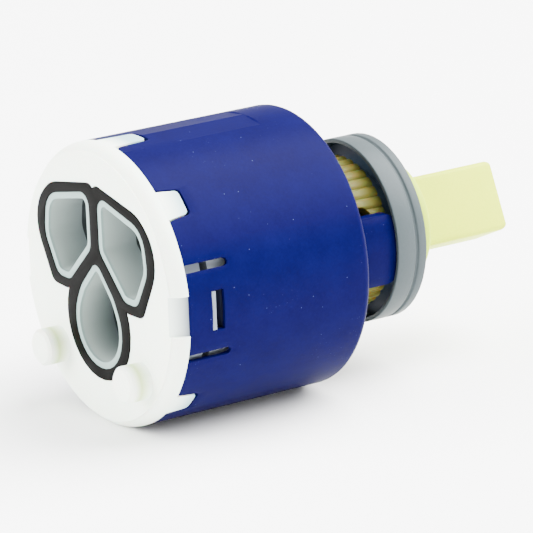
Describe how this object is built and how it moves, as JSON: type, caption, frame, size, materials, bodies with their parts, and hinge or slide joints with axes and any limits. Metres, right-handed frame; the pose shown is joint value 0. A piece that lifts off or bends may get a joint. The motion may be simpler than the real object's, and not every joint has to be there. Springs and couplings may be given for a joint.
{
  "type": "faucet cartridge",
  "caption": "Single-lever mixer cartridge with ceramic discs: turning the lever mixes hot and cold water, tilting it sets the flow.",
  "frame": {"origin": "on the cartridge's axis in the plane of the base's sealing face", "axes": "+Y along the axis from the sealing face to the lever, +Z away from the two locating pegs, +X to the right seen from the sealing face"},
  "size_m": [0.04, 0.0689, 0.04],
  "materials": {
    "housing_plastic": "semi-gloss moulded",
    "base_plastic": "satin moulded",
    "seal_rubber": "matte",
    "ceramic": "lapped ceramic",
    "carrier_plastic": "satin moulded",
    "washer_plastic": "smooth sheet",
    "rotor_plastic": "satin moulded",
    "lever_plastic": "semi-gloss moulded",
    "pin_steel": "ground",
    "foot_plastic": "smooth",
    "shield_plastic": "semi-gloss moulded",
    "ring_plastic": "satin moulded",
    "collar_plastic": "satin moulded"
  },
  "bodies": {
    "body": {"housing": "housing_plastic", "base": "base_plastic", "port_seal": "seal_rubber", "hot_disc_seal": "seal_rubber", "cold_disc_seal": "seal_rubber", "outlet_disc_seal": "seal_rubber", "fixed_disc": "ceramic"},
    "rotor": {"rotor": "rotor_plastic", "lever_pin": "pin_steel", "collar_ring": "collar_plastic", "rotor_o_ring": "seal_rubber", "glide_washer": "washer_plastic", "thrust_washer": "washer_plastic"},
    "lever": {"lever": "lever_plastic", "lever_foot": "foot_plastic", "lever_shield": "shield_plastic"},
    "carrier": {"disc_carrier": "carrier_plastic", "moving_disc": "ceramic", "carrier_seal": "seal_rubber"},
    "limiter": {"limiter_ring": "ring_plastic"}
  },
  "joints": [
    {"name": "rotor_turn", "type": "hinge", "parent": "body", "child": "rotor", "pos_m": [0, 0.032, 0], "axis": [0, -1, 0], "range_deg": [-69, 21]},
    {"name": "lever_tilt", "type": "hinge", "parent": "rotor", "child": "lever", "pos_m": [0, 0.0338, 0], "axis": [0.9135, 0, 0.4067], "range_deg": [-12, 12]},
    {"name": "disc_slide", "type": "slide", "parent": "rotor", "child": "carrier", "axis": [-0.4067, 0, 0.9135], "range_m": [-0.00315, 0.00315]},
    {"name": "limiter_lift", "type": "slide", "parent": "body", "child": "limiter", "axis": [0, 1, 0], "range_m": [0, 0.0024]}
  ],
  "couplings": [
    {"joint": "disc_slide", "follows": "lever_tilt", "m_per_rad": -0.015}
  ]
}
